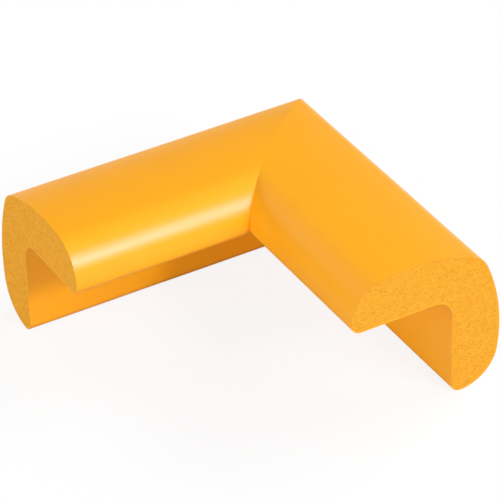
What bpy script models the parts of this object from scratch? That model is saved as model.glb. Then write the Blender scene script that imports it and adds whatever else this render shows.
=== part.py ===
"""Furniture corner protector: one soft foam corner with two limbs that meet in a mitre.

Both limbs have one L-shaped section, and each runs along one edge of a table top or shelf.
The top leaf lies on the furniture and the side leaf hangs down its edge. The origin is the
furniture's own corner point, where the three flat seats would meet. The left limb runs
along -X and the right limb along -Y. Metres, +Z up.
"""

from math import atan2, ceil, cos, pi, radians, sin, sqrt

import bmesh
import bpy
from mathutils import Matrix

COLLECTION = "furniture_corner_protector"
NODE = "corner_protector"

# Length of a limb, from the furniture's corner point to its cut end
LIMB_LENGTH = 0.0725

# Foam above the seat where the leaf's rounded back, its crown, is highest
WALL_THICKNESS = 0.013

# How far a leaf reaches over the furniture from the corner of the section
LEAF_REACH = 0.027

# The crown is a shallow arc, highest this far back from the corner of the section
CROWN_RADIUS = 0.046
CROWN_SETBACK = 0.012

# Round nose where the two crowns meet, small round at a leaf's lip, fillet between the seats
NOSE_RADIUS = 0.007
LIP_RADIUS = 0.0025
SEAT_FILLET = 0.005

# Chord length of the facets on every round stretch of the section
FACET_LENGTH = 0.0008

# Distance below which two points are one
MERGE_DISTANCE = 0.00001

FOAM_COLOUR = (0.93, 0.38, 0.028, 1.0)
FOAM_ROUGHNESS = 0.42


def clear_scene():
    for thing in list(bpy.data.objects):
        bpy.data.objects.remove(thing, do_unlink=True)


def make_collection(name):
    collection = bpy.data.collections.new(name)
    bpy.context.scene.collection.children.link(collection)
    return collection


def foam_material():
    material = bpy.data.materials.new("amber_foam")
    material.use_nodes = True
    shader = material.node_tree.nodes["Principled BSDF"]
    shader.inputs["Base Color"].default_value = FOAM_COLOUR
    shader.inputs["Roughness"].default_value = FOAM_ROUGHNESS
    shader.inputs["Metallic"].default_value = 0.0
    material.diffuse_color = FOAM_COLOUR
    return material


def arc(centre, radius, start, end):
    """Points from the angle start to the angle end, both included."""
    steps = max(2, ceil(abs(end - start) * radius / FACET_LENGTH))
    angles = [start + (end - start) * i / steps for i in range(steps + 1)]
    return [(centre[0] + radius * cos(a), centre[1] + radius * sin(a)) for a in angles]


def nose_centre(crown_u, crown_v):
    """Place on the section's diagonal of the arc that touches both crowns from inside."""
    total = crown_u + crown_v
    excess = crown_u ** 2 + crown_v ** 2 - (CROWN_RADIUS - NOSE_RADIUS) ** 2
    return (total + sqrt(total ** 2 - 2 * excess)) / 2


def leaf_outline():
    """Top leaf from the middle of the nose, over the crown and round the lip to its seat.

    u runs outwards and v upwards from the corner where the two seats would meet. Each arc
    is tangent to the next: nose, crown, shoulder, lip.
    """
    crown_u = -CROWN_SETBACK
    crown_v = WALL_THICKNESS - CROWN_RADIUS
    nose = nose_centre(crown_u, crown_v)
    nose_end = atan2(nose - crown_v, nose - crown_u)

    # The shoulder leaves the crown and comes down upright where the round of the lip starts
    back = CROWN_SETBACK - LEAF_REACH
    drop = LIP_RADIUS - crown_v
    shoulder = (CROWN_RADIUS ** 2 - back ** 2 - drop ** 2) / (2 * (CROWN_RADIUS + back))
    shoulder_u = shoulder - LEAF_REACH
    crown_end = atan2(LIP_RADIUS - crown_v, shoulder_u - crown_u)

    points = arc((nose, nose), NOSE_RADIUS, pi / 4, nose_end)
    points += arc((crown_u, crown_v), CROWN_RADIUS, nose_end, crown_end)[1:]
    points += arc((shoulder_u, LIP_RADIUS), shoulder, crown_end, pi)[1:]
    points += arc((LIP_RADIUS - LEAF_REACH, LIP_RADIUS), LIP_RADIUS, pi, 1.5 * pi)[1:]
    return points


def section_outline():
    """Whole section: the top leaf, the seat fillet, and the side leaf as its mirror image."""
    top_leaf = leaf_outline()
    fillet = arc((-SEAT_FILLET, -SEAT_FILLET), SEAT_FILLET, pi / 2, 0)
    side_leaf = [(v, u) for u, v in reversed(top_leaf)]
    return top_leaf + fillet + side_leaf[:-1]


def section_bar(name, outline, collection):
    """Straight bar of the section along X, from the left cut end to past the mitre."""
    past_mitre = WALL_THICKNESS + NOSE_RADIUS
    length = LIMB_LENGTH + past_mitre
    curve = bpy.data.curves.new(name + "_outline", "CURVE")
    curve.dimensions = "2D"
    curve.fill_mode = "BOTH"
    curve.extrude = length / 2
    spline = curve.splines.new("POLY")
    spline.points.add(len(outline) - 1)
    for point, (u, v) in zip(spline.points, outline):
        point.co = (u, v, 0.0, 1.0)
    spline.use_cyclic_u = True
    guide = bpy.data.objects.new(name + "_outline", curve)
    collection.objects.link(guide)

    # The outline's own X, Y and Z become the world's Y, Z and X
    turn = Matrix(((0, 0, 1, 0), (1, 0, 0, 0), (0, 1, 0, 0), (0, 0, 0, 1)))
    middle = (past_mitre - LIMB_LENGTH) / 2
    guide.matrix_world = Matrix.Translation((middle, 0, 0)) @ turn
    return curve_to_mesh(guide, name, collection)


def curve_to_mesh(guide, name, collection):
    """Closed mesh object in place of the curve object."""
    bpy.context.view_layer.update()
    evaluated = guide.evaluated_get(bpy.context.evaluated_depsgraph_get())
    mesh = bpy.data.meshes.new_from_object(evaluated)
    mesh.name = name
    solid = bmesh.new()
    solid.from_mesh(mesh)
    bmesh.ops.remove_doubles(solid, verts=solid.verts, dist=MERGE_DISTANCE)
    solid.to_mesh(mesh)
    solid.free()
    bar = bpy.data.objects.new(name, mesh)
    bar.matrix_world = guide.matrix_world
    collection.objects.link(bar)
    bpy.data.objects.remove(guide, do_unlink=True)
    return bar


def mitre_into_corner(bar, collection):
    """Cut the bar on the upright plane x = y and mirror it there into the second limb."""
    plane = bpy.data.objects.new("mitre_plane", None)
    plane.rotation_euler = (0, 0, radians(135))
    plane.hide_render = True
    collection.objects.link(plane)
    mirror = bar.modifiers.new("mitre", "MIRROR")
    mirror.mirror_object = plane
    mirror.use_axis = (True, False, False)
    mirror.use_bisect_axis = (True, False, False)
    mirror.use_mirror_merge = True
    mirror.merge_threshold = MERGE_DISTANCE
    mirror.bisect_threshold = MERGE_DISTANCE


def build():
    clear_scene()
    parts = make_collection(COLLECTION)
    guides = make_collection("guides")
    corner = section_bar(NODE, section_outline(), parts)
    corner.data.materials.append(foam_material())
    corner.data.shade_smooth()
    corner.data.set_sharp_from_angle(angle=radians(30))
    mitre_into_corner(corner, guides)


build()
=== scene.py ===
"""Looks of the furniture corner protector: satin foam skin, sawn foam ends, white studio."""
from math import cos, pi, radians, sin

import bmesh
import bpy
import numpy as np
from mathutils import Matrix, Vector, geometry, noise


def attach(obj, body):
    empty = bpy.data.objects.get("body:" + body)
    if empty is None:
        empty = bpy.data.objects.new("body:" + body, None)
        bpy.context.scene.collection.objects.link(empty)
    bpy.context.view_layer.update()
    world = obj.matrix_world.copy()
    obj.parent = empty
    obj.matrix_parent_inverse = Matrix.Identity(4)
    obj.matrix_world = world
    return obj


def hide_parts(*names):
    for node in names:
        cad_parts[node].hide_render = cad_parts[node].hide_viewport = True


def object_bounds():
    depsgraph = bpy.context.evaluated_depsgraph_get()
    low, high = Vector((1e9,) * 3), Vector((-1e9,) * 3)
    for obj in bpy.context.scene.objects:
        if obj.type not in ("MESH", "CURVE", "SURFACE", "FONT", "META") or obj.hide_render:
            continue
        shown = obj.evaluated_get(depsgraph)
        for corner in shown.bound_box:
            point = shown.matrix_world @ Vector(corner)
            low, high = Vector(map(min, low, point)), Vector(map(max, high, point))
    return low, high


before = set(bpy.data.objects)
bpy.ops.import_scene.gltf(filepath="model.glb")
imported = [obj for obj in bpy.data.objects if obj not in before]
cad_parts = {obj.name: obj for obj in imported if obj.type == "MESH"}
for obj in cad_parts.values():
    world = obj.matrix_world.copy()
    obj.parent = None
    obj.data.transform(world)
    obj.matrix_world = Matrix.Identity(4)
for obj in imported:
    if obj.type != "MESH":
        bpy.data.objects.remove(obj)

NODE = "corner_protector"
CAD_LOW, CAD_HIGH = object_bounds()
MM = 0.001

# The limbs run from their cut ends at CAD_LOW to the upright mitre plane x = y
LIMB_LENGTH = -CAD_LOW.x

# Distances within which points of the CAD node are one, a point lies on its cut plane, and
# points of a sawn end are one
CAD_MERGE = 0.001 * MM
ON_CUT_PLANE = 0.01 * MM
CUT_MERGE = 0.0001 * MM

# Spacing of the mesh over the skin, and its first rings' distances from the mitre in mm
CURVE_SPACING = 0.42 * MM
STRAIGHT_SPACING = 1.3 * MM
ALONG_SPACING = 1.25 * MM
MITRE_STATIONS = (0.10, 0.20, 0.32, 0.5, 0.8, 1.3, 2.0)

# A step of the section's outline longer than this many median steps is a straight run
STRAIGHT_RATIO = 3

# Edges between faces that turn by more than this stay sharp
SHARP_ANGLE = radians(35)

# Each limb with the seed of its waves and of the cells in its sawn end
LIMB_SEEDS = (("left", 3.1), ("right", 8.7))

# Slow waves that an extruded foam skin keeps, and how far from the mitre they are whole
WAVE_HEIGHT = 0.045 * MM
WAVE_LENGTH = 17 * MM
WAVE_FADE = 5 * MM

# The fine sunk line where the two limbs are bonded. It is deeper and shallower by turns along
# the mitre, and loses SEAM_LOSS of its depth where the section's outer side rises through the
# heights from CROWN_LOW to CROWN_HIGH
SEAM_DEPTH = 0.10 * MM
SEAM_WIDTH = 0.16 * MM
SEAM_SHARE = 0.75
SEAM_VARIATION = 0.5
SEAM_VARIATION_LENGTH = 1.7 * MM
CROWN_LOW = 8 * MM
CROWN_HIGH = 12 * MM
SEAM_LOSS = 0.8

# Sawn ends: a triangular lattice of points, its rows' spacing and its jitter as shares of its
# pitch, and the jitter's seed
CUT_PITCH = 0.178 * MM
CUT_ROW_SHARE = 0.866
CUT_JITTER = 0.18
LATTICE_SEED = 7

# Width of the dense skin round a sawn end, and how far in the cells have their full depth
CUT_RIM = 0.16 * MM
CUT_RIM_FADE = 2.5 * CUT_RIM

# Slow waves that the saw leaves. They lie wholly inside the limb's end
SAW_WAVE = 0.03 * MM
SAW_WAVE_LENGTH = 6 * MM

# Opened cells: their size and depth, the wall and the slope as shares of the size, and the
# shallowest cell's share of the depth. The scatter gives neighbours different depths
CELL_SIZE = 0.72 * MM
CELL_DEPTH = 0.22 * MM
CELL_WALL = 0.05
CELL_SLOPE = 0.38
SHALLOWEST_CELL = 0.35
CELL_DEPTH_SCATTER = 9.7

# Small cells among them: how many fit across a large one, and their walls, slopes and depth
SMALL_CELL_RATIO = 2.3
SMALL_CELL_WALL = 0.1
SMALL_CELL_SLOPE = 0.5
SMALL_CELL_DEPTH = 0.25

# Skin: its colour, and the strength and tint of its reflections
SKIN_COLOUR = (0.98, 0.412, 0.004)
SKIN_GLOSS = 0.68
SKIN_SHINE = (1.0, 0.7, 1.0)

# Size of the skin's faint clouds and the brightness over them, and the same for its roughness
SKIN_CLOUD = 9 * MM
SKIN_CLOUD_RANGE = (0.965, 1.035)
SKIN_PATCH = 2.5 * MM
SKIN_ROUGHNESS = (0.30, 0.35)
SKIN_NOISE_DETAIL = 3.0

# Sawn foam: colour of the cell walls, painted shade that darkens the opened cells, and its faint
# clouds. It is rougher in the cells
CUT_COLOUR = (0.82, 0.375, 0.025)
PIT_PAINTED_SHADE = (0.69, 0.298, 0.014)
CUT_GLOSS = 0.2
CUT_ROUGHNESS = (0.72, 0.9)
CUT_CLOUD = 1.6 * MM
CUT_CLOUD_RANGE = (0.93, 1.07)
CUT_NOISE_DETAIL = 4.0

# Grain of the skin and of the sawn foam, as layers of (size, height)
SKIN_GRAIN = ((0.22 * MM, 0.0018 * MM), (1.1 * MM, 0.006 * MM))
CUT_GRAIN = ((0.15 * MM, 0.02 * MM),)
GRAIN_DETAIL = 2.0

# The photograph's camera: a long lens from the left front. The aim is a place to the right and
# up in its view, and like the distance it is in metres
CAMERA_AZIMUTH = radians(-29.296)
CAMERA_ELEVATION = radians(35.062)
CAMERA_ROLL = radians(1.476)
CAMERA_DISTANCE = 0.81448
CAMERA_AIM = (-0.010383, -0.023975)
CAMERA_CLIP_START = 0.01
FOCAL_PIXELS = 3349.3
FRAME_PIXELS = 500
SENSOR_WIDTH = 36.0

# Soft boxes as (name, azimuth, elevation, distance, width and height, radiance), in degrees and
# metres. The key gives the shadow on the left side leaf, and the tall strip's reflection is the
# band along the left limb
SOFT_BOXES = (
    ("key", 13, 32, 1.1, (0.16, 0.16), 51.0),
    ("strip", 29, 33, 1.1, (0.20, 0.60), 10.0),
    ("front_left", -54, 12, 1.3, (0.8, 0.6), 6.2),
    ("left", -91, 14, 1.3, (0.8, 0.5), 2.3),
    ("right", 92, 34, 1.3, (0.8, 0.6), 8.0),
    ("back", -171, 8, 1.3, (0.7, 0.4), 14.6),
)

# Radiance of the even studio dome
DOME_LIGHT = 0.17

# The floor's grey for the light that it throws back, the pale grey that the camera sees there,
# and the share of plain white that the camera sees over that
FLOOR_COLOUR = 0.47
FLOOR_SEEN = 0.93
FLOOR_GLOW = 0.86
FLOOR_ROUGHNESS = 0.9
FLOOR_HALF_WIDTH = 4.0

WHITE = (1, 1, 1, 1)


def direction(azimuth, elevation):
    """Unit vector from the object to a viewer at that azimuth and elevation."""
    return Vector((sin(azimuth) * cos(elevation), -cos(azimuth) * cos(elevation), sin(elevation)))


def smoothstep(low, high, value):
    """0 up to low, 1 from high on, and a smooth rise between them."""
    t = np.clip((value - low) / (high - low), 0.0, 1.0)
    return t * t * (3 - 2 * t)


def section_from_frame():
    """The section's outline as (u, v) points in order, read from the CAD node's left cut end."""
    mesh = bmesh.new()
    mesh.from_mesh(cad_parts[NODE].data)
    bmesh.ops.remove_doubles(mesh, verts=mesh.verts, dist=CAD_MERGE)
    flat = {f for f in mesh.faces if all(abs(v.co.x - CAD_LOW.x) < ON_CUT_PLANE for v in f.verts)}
    rim = [e for e in mesh.edges if sum(f in flat for f in e.link_faces) == 1]
    beside = {}
    for edge in rim:
        for vert in edge.verts:
            beside.setdefault(vert, []).append(edge.other_vert(vert))
    start = max(beside, key=lambda vert: vert.co.y + vert.co.z)
    loop = [start, max(beside[start], key=lambda vert: vert.co.z)]
    while len(loop) < len(beside):
        loop.append(next(v for v in beside[loop[-1]] if v is not loop[-2]))
    points = np.array([(v.co.y, v.co.z) for v in loop])
    mesh.free()
    return points


def smooth_outline(points):
    """The outline with more points: round stretches as smooth curves, straight runs kept straight."""
    step = np.roll(points, -1, 0) - points
    length = np.linalg.norm(step, axis=1)
    heading = step / length[:, None]
    straight = length > STRAIGHT_RATIO * np.median(length)
    before = np.roll(heading, 1, 0)
    tangent = heading + before
    tangent /= np.linalg.norm(tangent, axis=1)[:, None]
    tangent[straight] = heading[straight]
    after_straight = np.roll(straight, 1)
    tangent[after_straight] = before[after_straight]
    dense = []
    for i, start in enumerate(points):
        spacing = STRAIGHT_SPACING if straight[i] else CURVE_SPACING
        count = max(1, round(length[i] / spacing))
        end = points[(i + 1) % len(points)]
        pull = length[i] * tangent[i], length[i] * tangent[(i + 1) % len(points)]
        for t in np.arange(count) / count:
            place = start * (2 * t ** 3 - 3 * t ** 2 + 1) + end * (3 * t ** 2 - 2 * t ** 3)
            dense.append(place + pull[0] * (t ** 3 - 2 * t ** 2 + t) + pull[1] * (t ** 3 - t ** 2))
    return np.array(dense)


def outward_normals(outline):
    """Unit normals of the outline, pointing out of the foam."""
    following = np.roll(outline, -1, 0)
    along = following - np.roll(outline, 1, 0)
    area = np.sum(outline[:, 0] * following[:, 1] - outline[:, 1] * following[:, 0])
    normal = np.stack([along[:, 1], -along[:, 0]], 1) * np.sign(area)
    return normal / np.linalg.norm(normal, axis=1)[:, None]


def waves(places, seed):
    """Height of the skin's slow waves at each place."""
    shift = Vector((seed, 2 * seed, 3 * seed))
    return np.array([noise.noise(Vector(p) / WAVE_LENGTH + shift) for p in places]) * WAVE_HEIGHT


def in_world(limb, along, outline):
    """World places of section points at a distance along a limb from its cut end."""
    run = along - LIMB_LENGTH
    if limb == "left":
        return np.stack([run, outline[:, 0], outline[:, 1]], 1)
    return np.stack([outline[:, 0], run, outline[:, 1]], 1)


def seam_depth(outline):
    """Depth of the mitre's seam: a clear line on the shoulders that almost fades on the crowns."""
    crown = smoothstep(CROWN_LOW, CROWN_HIGH, outline.max(1))
    return SEAM_DEPTH * (1 - SEAM_LOSS * crown)


def seam_ring(outline, normal):
    """The shared ring of points on the mitre plane, sunk by the depth of the seam."""
    places = np.stack([outline[:, 0], outline[:, 0], outline[:, 1]], 1)
    inwards = -np.stack([normal[:, 0], normal[:, 0], normal[:, 1]], 1)
    inwards /= np.linalg.norm(inwards, axis=1)[:, None]
    unevenness = np.array([noise.noise(Vector(p) / SEAM_VARIATION_LENGTH) for p in places])
    share = SEAM_SHARE + SEAM_VARIATION * unevenness
    return places + inwards * (seam_depth(outline) * share)[:, None]


def limb_rings(limb, outline, normal, seed):
    """Rings of skin points from beside the mitre to the cut end."""
    near = np.array(MITRE_STATIONS) * MM
    far_count = round(LIMB_LENGTH / ALONG_SPACING)
    whole = LIMB_LENGTH + outline[:, 0]

    # With no run along the limb, a section's normal becomes a direction in the world
    facing = in_world(limb, np.full(len(outline), LIMB_LENGTH), normal)
    rings = []
    for k in range(len(near) + far_count):
        if k < len(near):
            gap = np.full(len(outline), near[k])
        else:
            share = (k - len(near) + 1) / far_count
            gap = near[-1] + (whole - near[-1]) * share
        flat = in_world(limb, whole - gap, outline)
        height = waves(flat, seed) * smoothstep(0, WAVE_FADE, gap)
        height -= seam_depth(outline) * np.exp(-(gap / SEAM_WIDTH) ** 2)
        rings.append(flat + facing * height[:, None])
    return rings


def cut_points(rim):
    """Lattice points inside a cut end's rim, and how far each is from the rim."""
    rng = np.random.default_rng(LATTICE_SEED)
    low, high = rim.min(0), rim.max(0)
    rows = int((high[1] - low[1]) / (CUT_PITCH * CUT_ROW_SHARE)) + 1
    columns = int((high[0] - low[0]) / CUT_PITCH) + 1
    v, u = np.mgrid[0:rows, 0:columns].astype(float)
    u += 0.5 * (v % 2)
    lattice = np.stack([u.ravel() * CUT_PITCH, v.ravel() * CUT_PITCH * CUT_ROW_SHARE], 1) + low
    lattice += rng.uniform(-CUT_JITTER, CUT_JITTER, lattice.shape) * CUT_PITCH
    inside = np.zeros(len(lattice), bool)
    nearest = np.full(len(lattice), np.inf)
    for a, b in zip(rim, np.roll(rim, -1, 0)):
        run = b - a
        if run[1] != 0:
            crosses = (a[1] > lattice[:, 1]) != (b[1] > lattice[:, 1])
            at = a[0] + (lattice[:, 1] - a[1]) * run[0] / run[1]
            inside ^= crosses & (lattice[:, 0] < at)
        t = np.clip(((lattice - a) @ run) / (run @ run), 0, 1)
        nearest = np.minimum(nearest, np.linalg.norm(lattice - a - t[:, None] * run, axis=1))
    keep = inside & (nearest > CUT_RIM)
    return lattice[keep], nearest[keep]


def cell_pits(points, edge_distance, seed):
    """How far each point of a sawn face lies inside an opened foam cell, from 0 to 1."""
    pits = np.empty(len(points))
    for i, (u, v) in enumerate(points):
        place = Vector((u / CELL_SIZE, v / CELL_SIZE, seed))
        near, centres = noise.voronoi(place)
        small = noise.voronoi(place * SMALL_CELL_RATIO)[0]
        scatter = abs(noise.noise(centres[0] * CELL_DEPTH_SCATTER)) ** 0.5
        size = SHALLOWEST_CELL + (1 - SHALLOWEST_CELL) * scatter
        fall = (near[1] - near[0] - CELL_WALL) / CELL_SLOPE
        small_fall = (small[1] - small[0] - SMALL_CELL_WALL) / SMALL_CELL_SLOPE
        pits[i] = size * min(1.0, max(0.0, fall))
        pits[i] += SMALL_CELL_DEPTH * min(1.0, max(0.0, small_fall))
    return np.clip(pits, 0, 1) * smoothstep(CUT_RIM, CUT_RIM_FADE, edge_distance)


def cut_face(rim, seed):
    """New points of a sawn end with their depths and pit values, and the triangles over them.

    The triangles count the rim's points first, and the new points after them.
    """
    points, edge_distance = cut_points(rim)
    count = len(rim)
    flat = [Vector(p) for p in np.vstack([rim, points])]
    loop = [(i, (i + 1) % count) for i in range(count)]
    _, _, faces, origin, _, _ = geometry.delaunay_2d_cdt(flat, loop, [], 1, CUT_MERGE)
    source = [min(ids) for ids in origin]
    pits = cell_pits(points, edge_distance, seed)
    saw = np.array([noise.noise(Vector((0, v / SAW_WAVE_LENGTH, seed))) for _, v in points])
    depth = pits * CELL_DEPTH + SAW_WAVE + saw * SAW_WAVE
    return points, depth, pits, [[source[i] for i in face] for face in faces]


def ring_quads(limb, count, previous, here):
    """Quads between two neighbouring rings, given the index of each ring's first point."""
    quads = []
    for i in range(count):
        j = (i + 1) % count
        quad = (previous + i, previous + j, here + j, here + i)
        quads.append(quad if limb == "left" else quad[::-1])
    return quads


def corner_mesh():
    """Points, skin quads, triangles of the sawn ends, and pit values of one closed mesh."""
    outline = smooth_outline(section_from_frame())
    normal = outward_normals(outline)
    count = len(outline)
    places, pits = [seam_ring(outline, normal)], [np.zeros(count)]
    quads, triangles = [], []
    total = count
    for limb, seed in LIMB_SEEDS:
        rings = limb_rings(limb, outline, normal, seed)
        previous = 0
        for ring in rings:
            quads += ring_quads(limb, count, previous, total)
            places.append(ring)
            pits.append(np.zeros(count))
            previous = total
            total += count
        section_axes = (1, 2) if limb == "left" else (0, 2)
        points, depth, pit, faces = cut_face(rings[-1][:, section_axes], seed)
        places.append(in_world(limb, depth, points))
        pits.append(pit)
        for face in faces:
            triangles.append([previous + i if i < count else total + i - count for i in face])
        total += len(points)
    return np.vstack(places), quads, triangles, np.concatenate(pits)


def corner_piece():
    """The whole foam corner as one object, with its skin and its sawn ends."""
    places, quads, triangles, pits = corner_mesh()
    mesh = bpy.data.meshes.new("foam_corner")
    mesh.from_pydata(places.tolist(), [], quads + triangles)
    pit_values = mesh.attributes.new("pit", "FLOAT", "POINT")
    pit_values.data.foreach_set("value", pits.astype(np.float32))
    mesh.materials.append(skin_material())
    mesh.materials.append(cut_material())
    slots = [0] * len(quads) + [1] * len(triangles)
    mesh.polygons.foreach_set("material_index", slots)
    solid = bmesh.new()
    solid.from_mesh(mesh)
    bmesh.ops.recalc_face_normals(solid, faces=solid.faces)
    solid.to_mesh(mesh)
    solid.free()
    mesh.shade_smooth()
    mesh.set_sharp_from_angle(angle=SHARP_ANGLE)
    piece = bpy.data.objects.new("foam_corner", mesh)
    bpy.context.scene.collection.objects.link(piece)
    return piece


def node(tree, kind, **values):
    """A shader node with its named inputs or properties set."""
    made = tree.nodes.new(kind)
    for name, value in values.items():
        if hasattr(made, name):
            setattr(made, name, value)
        else:
            made.inputs[name].default_value = value
    return made


def empty_material(name):
    """A new material with its node tree and its shader."""
    material = bpy.data.materials.new(name)
    material.use_nodes = True
    return material, material.node_tree, material.node_tree.nodes["Principled BSDF"]


def object_noise(tree, size, detail):
    """Noise over the object's own coordinates, with features of that size in metres."""
    coordinates = node(tree, "ShaderNodeTexCoord")
    texture = node(tree, "ShaderNodeTexNoise", Scale=1 / size, Detail=detail)
    tree.links.new(coordinates.outputs["Object"], texture.inputs["Vector"])
    return texture.outputs["Fac"]


def ranged(tree, value, low, high):
    """The value, from 0 to 1, spread from low to high."""
    spread = node(tree, "ShaderNodeMapRange")
    spread.inputs["To Min"].default_value = low
    spread.inputs["To Max"].default_value = high
    tree.links.new(value, spread.inputs["Value"])
    return spread.outputs["Result"]


def brightness(tree, value, low, high):
    """A node that scales its colour's brightness, from low to high by the value."""
    shade = node(tree, "ShaderNodeHueSaturation")
    tree.links.new(ranged(tree, value, low, high), shade.inputs["Value"])
    return shade


def grain(tree, layers):
    """A normal from several (size, height) layers of noise, both in metres."""
    normal = None
    for size, height in layers:
        bump = node(tree, "ShaderNodeBump", Strength=1.0, Distance=height)
        tree.links.new(object_noise(tree, size, GRAIN_DETAIL), bump.inputs["Height"])
        if normal:
            tree.links.new(normal, bump.inputs["Normal"])
        normal = bump.outputs["Normal"]
    return normal


def skin_material():
    """Smooth extruded skin of the foam: satin, with a very fine grain."""
    material, tree, shader = empty_material("foam_skin")
    cloud = object_noise(tree, SKIN_CLOUD, SKIN_NOISE_DETAIL)
    shade = brightness(tree, cloud, *SKIN_CLOUD_RANGE)
    shade.inputs["Color"].default_value = (*SKIN_COLOUR, 1)
    patches = object_noise(tree, SKIN_PATCH, SKIN_NOISE_DETAIL)
    roughness = ranged(tree, patches, *SKIN_ROUGHNESS)
    shader.inputs["Specular IOR Level"].default_value = SKIN_GLOSS
    shader.inputs["Specular Tint"].default_value = (*SKIN_SHINE, 1)
    tree.links.new(shade.outputs["Color"], shader.inputs["Base Color"])
    tree.links.new(roughness, shader.inputs["Roughness"])
    tree.links.new(grain(tree, SKIN_GRAIN), shader.inputs["Normal"])
    return material


def cut_material():
    """Sawn foam: matt, with painted shade that makes the opened cells darker than the cell walls."""
    material, tree, shader = empty_material("cut_foam")
    pit = node(tree, "ShaderNodeAttribute", attribute_name="pit").outputs["Fac"]
    # Painted shade: the opened cells are mixed towards a darker colour by how deep they are
    mix = node(tree, "ShaderNodeMix", data_type="RGBA", A=(*CUT_COLOUR, 1), B=(*PIT_PAINTED_SHADE, 1))
    tree.links.new(pit, mix.inputs["Factor"])
    shade = brightness(tree, object_noise(tree, CUT_CLOUD, CUT_NOISE_DETAIL), *CUT_CLOUD_RANGE)
    tree.links.new(mix.outputs["Result"], shade.inputs["Color"])
    shader.inputs["Specular IOR Level"].default_value = CUT_GLOSS
    tree.links.new(shade.outputs["Color"], shader.inputs["Base Color"])
    tree.links.new(ranged(tree, pit, *CUT_ROUGHNESS), shader.inputs["Roughness"])
    tree.links.new(grain(tree, CUT_GRAIN), shader.inputs["Normal"])
    return material


def make_camera():
    """The photograph's camera, whose frame is turned by a small roll."""
    back = direction(CAMERA_AZIMUTH, CAMERA_ELEVATION)
    right = Vector((cos(CAMERA_AZIMUTH), sin(CAMERA_AZIMUTH), 0))
    up = back.cross(right)
    data = bpy.data.cameras.new("camera")
    data.sensor_width = SENSOR_WIDTH
    data.lens = FOCAL_PIXELS / FRAME_PIXELS * SENSOR_WIDTH
    data.clip_start = CAMERA_CLIP_START
    camera = bpy.data.objects.new("camera", data)
    place = CAMERA_AIM[0] * right + CAMERA_AIM[1] * up + CAMERA_DISTANCE * back
    turned_right = cos(CAMERA_ROLL) * right - sin(CAMERA_ROLL) * up
    turned_up = sin(CAMERA_ROLL) * right + cos(CAMERA_ROLL) * up
    axes = Matrix((turned_right, turned_up, back)).transposed().to_4x4()
    camera.matrix_world = Matrix.Translation(place) @ axes
    bpy.context.scene.collection.objects.link(camera)
    bpy.context.scene.camera = camera


def make_light(name, azimuth, elevation, distance, size, radiance):
    """A rectangular soft light that faces the corner from that direction."""
    data = bpy.data.lights.new(name, "AREA")
    data.shape = "RECTANGLE"
    data.size, data.size_y = size
    data.energy = radiance * pi * size[0] * size[1]
    light = bpy.data.objects.new(name, data)
    towards = direction(radians(azimuth), radians(elevation))
    light.location = (CAD_LOW + CAD_HIGH) / 2 + towards * distance
    light.rotation_euler = towards.to_track_quat("Z", "Y").to_euler()
    bpy.context.scene.collection.objects.link(light)


def make_world():
    """The studio dome, which the camera itself sees as plain white."""
    world = bpy.data.worlds.new("studio")
    world.use_nodes = True
    tree = world.node_tree
    background = tree.nodes["Background"]
    background.inputs["Color"].default_value = WHITE
    seen = node(tree, "ShaderNodeLightPath").outputs["Is Camera Ray"]
    tree.links.new(ranged(tree, seen, DOME_LIGHT, 1.0), background.inputs["Strength"])
    bpy.context.scene.world = world


def floor_material():
    """A grey floor that the camera sees as white, with the object's shadow on it."""
    material, tree, shader = empty_material("white_floor")
    shader.inputs["Roughness"].default_value = FLOOR_ROUGHNESS
    glow = node(tree, "ShaderNodeEmission", Color=WHITE, Strength=1.0)
    mix = node(tree, "ShaderNodeMixShader")
    seen = node(tree, "ShaderNodeLightPath").outputs["Is Camera Ray"]
    tree.links.new(ranged(tree, seen, FLOOR_COLOUR, FLOOR_SEEN), shader.inputs["Base Color"])
    tree.links.new(ranged(tree, seen, 0.0, FLOOR_GLOW), mix.inputs["Fac"])
    tree.links.new(shader.outputs["BSDF"], mix.inputs[1])
    tree.links.new(glow.outputs["Emission"], mix.inputs[2])
    tree.links.new(mix.outputs["Shader"], tree.nodes["Material Output"].inputs["Surface"])
    return material


def make_floor(height):
    """A wide level floor that the corner stands on."""
    mesh = bpy.data.meshes.new("floor")
    solid = bmesh.new()
    bmesh.ops.create_grid(solid, x_segments=1, y_segments=1, size=FLOOR_HALF_WIDTH)
    solid.to_mesh(mesh)
    solid.free()
    mesh.materials.append(floor_material())
    floor = bpy.data.objects.new("floor", mesh)
    floor.location = (0, 0, height)
    bpy.context.scene.collection.objects.link(floor)


make_camera()
corner = corner_piece()
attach(corner, "root")
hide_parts(NODE)
for soft_box in SOFT_BOXES:
    make_light(*soft_box)
make_world()
make_floor(min(vert.co.z for vert in corner.data.vertices))
bpy.context.scene.view_settings.view_transform = "Standard"
